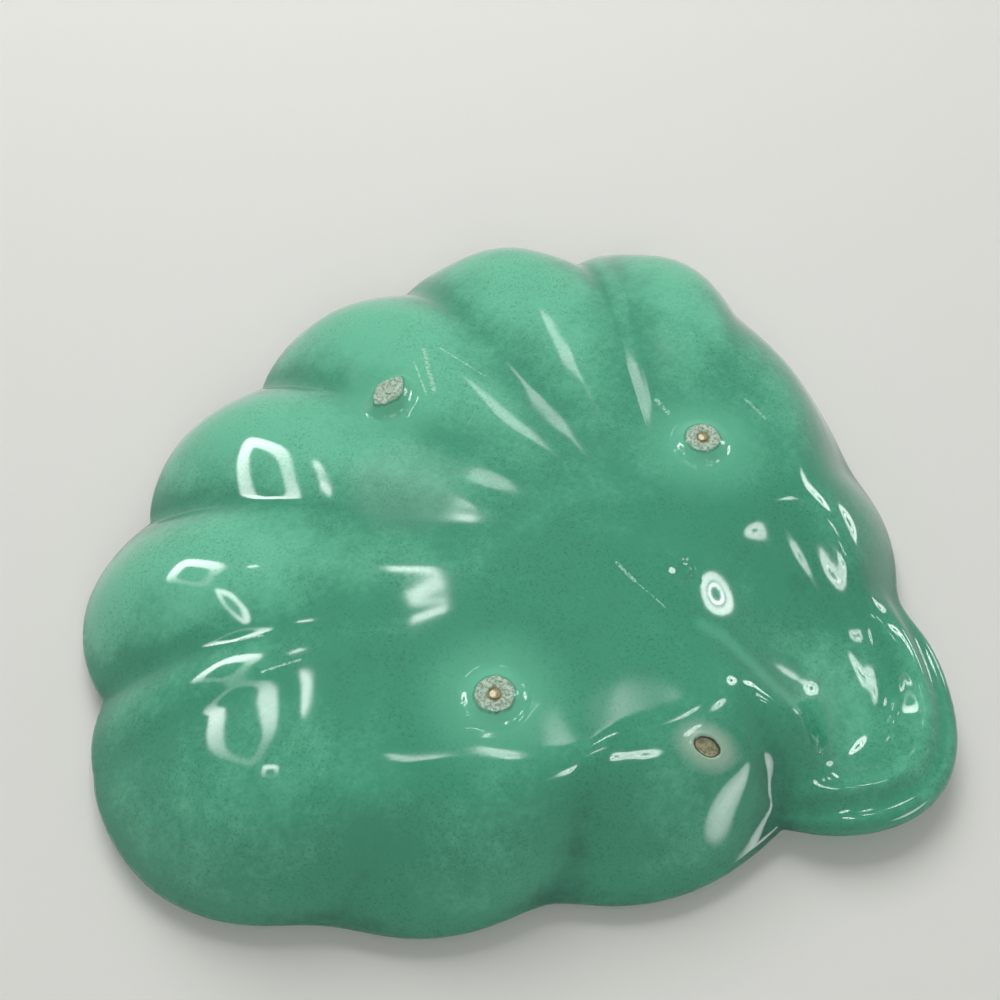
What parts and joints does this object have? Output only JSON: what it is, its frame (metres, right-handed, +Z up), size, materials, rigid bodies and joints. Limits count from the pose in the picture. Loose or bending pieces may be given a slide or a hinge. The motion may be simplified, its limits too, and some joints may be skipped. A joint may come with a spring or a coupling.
{
  "type": "trinket dish",
  "caption": "Shallow scallop-shell trinket dish with a rounded rim, a handle tab and ground foot nubs, in glossy green glazed earthenware",
  "frame": {"origin": "bottom centre of the box, on the plane of the ground feet", "axes": "+Z up out of the bowl, the handle tab points to -Y, the fan's widest side runs along X"},
  "size_m": [0.14, 0.129, 0.0196],
  "materials": {
    "fired_clay": "matte earthenware, under the glaze",
    "green_glaze": "glossy sea-green glaze with fine dark speckle, paler where thin and darker where it pooled",
    "ground_glaze": "glaze bead ground flat, matte grey with white speckle",
    "pin_clay": "broken cream-yellow pin tip, matte"
  },
  "bodies": {
    "root": {"clay_body": "fired_clay", "glaze_coat": "green_glaze", "foot_nub_back": "ground_glaze", "foot_nub_left": "ground_glaze", "foot_nub_right": "ground_glaze", "pin_tip_back": "pin_clay", "pin_tip_left": "pin_clay", "pin_tip_right": "pin_clay"}
  },
  "joints": []
}
